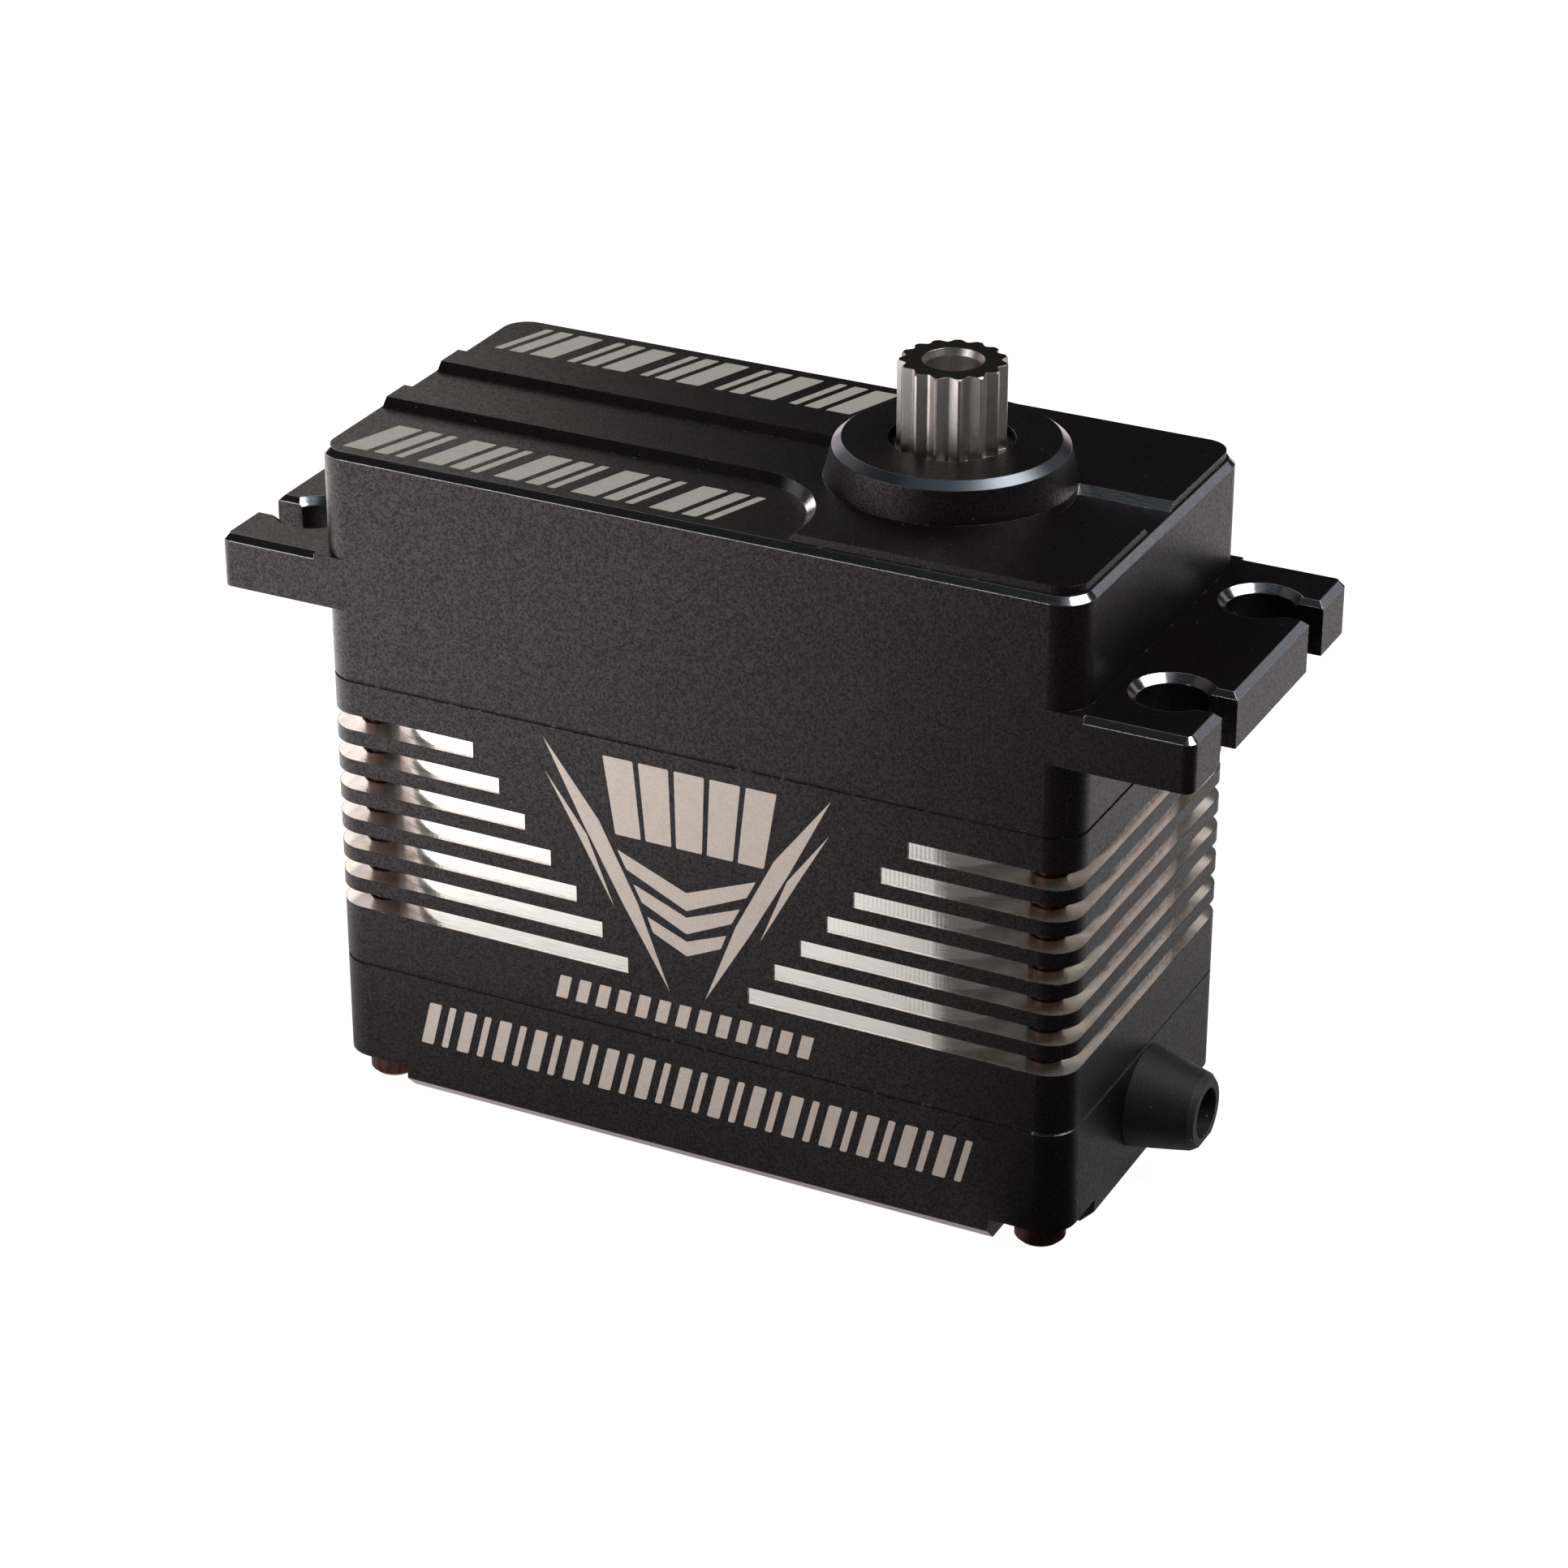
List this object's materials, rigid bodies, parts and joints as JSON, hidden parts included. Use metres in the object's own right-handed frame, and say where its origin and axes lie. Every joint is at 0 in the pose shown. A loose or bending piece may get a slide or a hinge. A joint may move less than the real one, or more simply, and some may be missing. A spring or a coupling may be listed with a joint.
{
  "type": "steering servo motor",
  "caption": "Large-scale brushless steering servo with a slotted aluminium heat-sink case, slit mounting ears and a coarse splined output shaft.",
  "frame": {"origin": "centre of the four ear holes, on the underside of the ears", "axes": "+Z out of the output shaft's splined end, +X along the case towards the output shaft, -Y the long side with the etched emblem"},
  "size_m": [0.076, 0.0292, 0.0607],
  "materials": {
    "anodised_case": "bead-blasted black anodised with bright-cut edges",
    "anodised_sink": "bead-blasted black anodised, bare bright slots",
    "black_oxide_steel": "black oxide",
    "gasket_rubber": "matt",
    "gland_rubber": "matt, slightly dusty",
    "bearing_steel": "ground and polished",
    "gear_steel": "machined",
    "shaft_steel": "machined spline",
    "pinion_brass": "machined",
    "pin_steel": "ground",
    "magnet": "nickel coated",
    "motor_can_metal": "satin",
    "motor_bell_metal": "satin",
    "lamination": "stacked sheet edge",
    "copper_wire": "enamelled copper",
    "sensor_plastic": "moulded",
    "sensor_spindle": "moulded",
    "board_green": "solder mask",
    "chip_black": "moulded",
    "capacitor_can": "drawn",
    "resistor_ceramic": "matt",
    "wire_red": "insulation",
    "wire_yellow": "insulation"
  },
  "bodies": {
    "housing": {"upper_case": "anodised_case", "middle_case": "anodised_sink", "lower_case": "anodised_case", "upper_gasket": "gasket_rubber", "lower_gasket": "gasket_rubber", "case_screws": "black_oxide_steel", "cable_gland": "gland_rubber", "output_seal": "gasket_rubber", "upper_bearing_outer": "bearing_steel", "lower_bearing_outer": "bearing_steel", "idler_pin": "pin_steel", "thrust_washers": "pin_steel", "motor_can": "motor_can_metal", "motor_front_bell": "motor_bell_metal", "motor_rear_bell": "motor_bell_metal", "motor_bearing_front": "bearing_steel", "motor_bearing_rear": "bearing_steel", "stator_core": "lamination", "stator_windings": "copper_wire", "motor_screws": "pin_steel", "sensor_body": "sensor_plastic", "control_board": "board_green", "board_mosfets": "chip_black", "board_controller": "chip_black", "board_capacitor": "capacitor_can", "board_resistors": "resistor_ceramic", "phase_wires": "wire_red", "sensor_wires": "wire_yellow", "board_screws": "pin_steel"},
    "output": {"output_shaft": "shaft_steel", "output_wheel": "gear_steel", "output_spacer": "pin_steel", "upper_bearing_inner": "bearing_steel", "lower_bearing_inner": "bearing_steel", "sensor_shaft": "sensor_spindle"},
    "ball_sets": {"upper_bearing_balls": "bearing_steel", "lower_bearing_balls": "bearing_steel"},
    "third_gear": {"gear_3_wheel": "gear_steel", "gear_3_pinion": "gear_steel"},
    "second_gear": {"gear_2_wheel": "gear_steel", "gear_2_pinion": "gear_steel"},
    "first_gear": {"gear_1_wheel": "pinion_brass", "gear_1_pinion": "gear_steel"},
    "rotor": {"motor_pinion": "pinion_brass", "motor_shaft": "pin_steel", "rotor_magnet": "magnet", "rotor_hub": "lamination"}
  },
  "joints": [
    {"name": "output_spin", "type": "hinge", "parent": "housing", "child": "output", "pos_m": [0.0135, 0, 0], "axis": [0, 0, 1], "range_deg": [-60, 60]},
    {"name": "ball_set_spin", "type": "hinge", "parent": "housing", "child": "ball_sets", "pos_m": [0.0135, 0, 0], "axis": [0, 0, 1], "range_deg": [-25.22, 25.22]},
    {"name": "third_gear_spin", "type": "hinge", "parent": "housing", "child": "third_gear", "pos_m": [-0.0009, 0, 0], "axis": [0, 0, 1], "range_deg": [-156.09, 156.09]},
    {"name": "second_gear_spin", "type": "hinge", "parent": "housing", "child": "second_gear", "pos_m": [0.0135, 0, 0], "axis": [0, 0, 1], "range_deg": [-468.24, 468.24]},
    {"name": "first_gear_spin", "type": "hinge", "parent": "housing", "child": "first_gear", "pos_m": [-0.0009, 0, 0], "axis": [0, 0, 1], "range_deg": [-1692.86, 1692.86]},
    {"name": "rotor_spin", "type": "hinge", "parent": "housing", "child": "rotor", "pos_m": [-0.0147, 0, 0], "axis": [0, 0, 1], "range_deg": [-8041.03, 8041.03]}
  ],
  "couplings": [
    {"joint": "ball_set_spin", "follows": "output_spin", "ratio": 0.42},
    {"joint": "third_gear_spin", "follows": "output_spin", "ratio": -2.6},
    {"joint": "second_gear_spin", "follows": "output_spin", "ratio": 7.8},
    {"joint": "first_gear_spin", "follows": "output_spin", "ratio": -28.2},
    {"joint": "rotor_spin", "follows": "output_spin", "ratio": 133.95}
  ]
}
